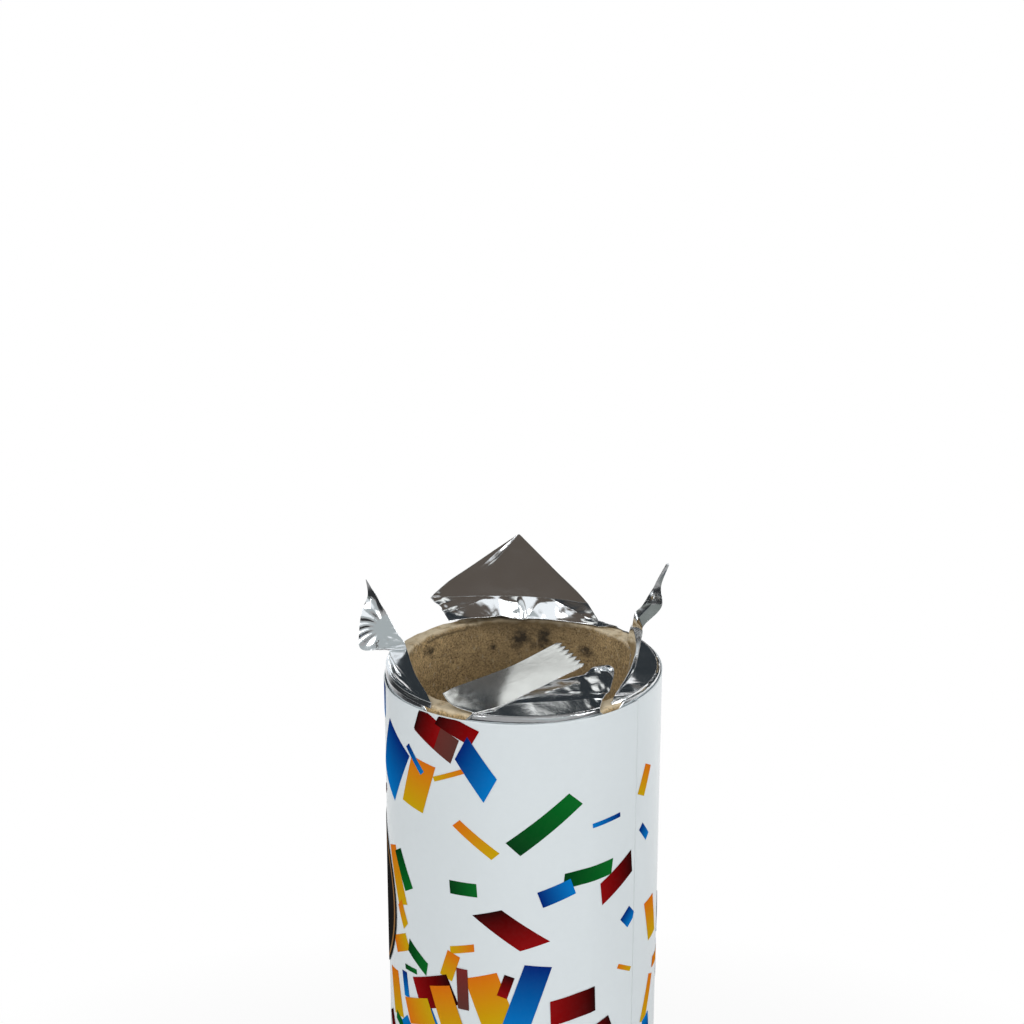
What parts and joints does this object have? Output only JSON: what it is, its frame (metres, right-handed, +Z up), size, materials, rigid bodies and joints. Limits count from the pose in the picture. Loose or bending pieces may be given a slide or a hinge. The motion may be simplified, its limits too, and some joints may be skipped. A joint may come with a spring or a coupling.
{
  "type": "confetti popper",
  "caption": "Fired twist-type confetti popper: printed paper tube on a fluted twist grip, burst foil lid in torn petals, gas bottle, cam-driven spring striker, wad and paper slips inside.",
  "frame": {"origin": "middle of the standing face at the bottom of the end cap", "axes": "+Z up along the bore, -Y towards the viewer of the picture (the petal folded inwards), +X to that viewer's right"},
  "size_m": [0.0559, 0.0609, 0.2197],
  "materials": {
    "kraft_board": "raw spiral-wound grey-brown board, speckled, pale at the cut rim",
    "printed_wrap": "glossy white coated paper printed with a scatter of coloured slips",
    "silver_foil": "crumpled bright metallised foil",
    "foil_tape": "smooth silver foil tape, cut with teeth",
    "black_plastic": "fine-textured moulded black plastic",
    "white_plastic": "natural moulded plastic",
    "steel": "plain bright steel",
    "bottle_steel": "drawn steel, zinc plated",
    "seal_brass": "thin rolled brass",
    "seal_rubber": "black nitrile",
    "wad_felt": "pressed off-white felt",
    "paper_red": "coloured tissue paper",
    "paper_blue": "coloured tissue paper",
    "paper_green": "coloured tissue paper",
    "paper_yellow": "coloured tissue paper"
  },
  "bodies": {
    "barrel": {"barrel_tube": "kraft_board", "label_wrap": "printed_wrap", "foil_collar": "silver_foil", "breech_plug": "black_plastic", "plug_nails": "steel", "spring_cap": "white_plastic", "retaining_ring": "steel", "gas_bottle": "bottle_steel", "bottle_seal": "seal_brass"},
    "grip": {"twist_base": "black_plastic", "base_cap": "black_plastic"},
    "striker_unit": {"striker": "white_plastic", "follower_pin": "steel", "piercing_needle": "steel", "striker_o_ring": "seal_rubber", "striker_spring": "steel"},
    "wad": {"push_wad": "wad_felt", "confetti_red": "paper_red", "confetti_blue": "paper_blue", "confetti_green": "paper_green", "confetti_yellow": "paper_yellow"},
    "rear_petal": {"foil_petal_rear": "silver_foil"},
    "left_petal": {"foil_petal_left": "silver_foil"},
    "right_petal": {"foil_petal_right": "silver_foil"},
    "front_petal": {"foil_petal_front": "silver_foil", "foil_tape_strip": "foil_tape"}
  },
  "joints": [
    {"name": "grip_twist", "type": "hinge", "parent": "barrel", "child": "grip", "pos_m": [0, 0, 0.0336], "axis": [0, 0, 1], "range_deg": [0, 145]},
    {"name": "striker_slide", "type": "slide", "parent": "barrel", "child": "striker_unit", "axis": [0, 0, 1], "range_m": [-0.0078, 0], "deforming": ["striker_spring"]},
    {"name": "wad_slide", "type": "slide", "parent": "barrel", "child": "wad", "axis": [0, 0, 1], "range_m": [0, 0.08]},
    {"name": "rear_petal_fold", "type": "hinge", "parent": "barrel", "child": "rear_petal", "pos_m": [0, 0.02203, 0.20053], "axis": [-1, 0, 0], "range_deg": [-100, 45]},
    {"name": "left_petal_fold", "type": "hinge", "parent": "barrel", "child": "left_petal", "pos_m": [-0.0216, 0, 0.20053], "axis": [0, -1, 0], "range_deg": [-45, 25]},
    {"name": "right_petal_fold", "type": "hinge", "parent": "barrel", "child": "right_petal", "pos_m": [0.0202, 0, 0.20053], "axis": [0, 1, 0], "range_deg": [-30, 60]},
    {"name": "front_petal_fold", "type": "hinge", "parent": "barrel", "child": "front_petal", "pos_m": [0, -0.0229, 0.20057], "axis": [1, 0, 0], "range_deg": [0, 110]}
  ],
  "couplings": [
    {"joint": "striker_slide", "follows": "grip_twist", "m_per_rad": -0.0030558}
  ]
}
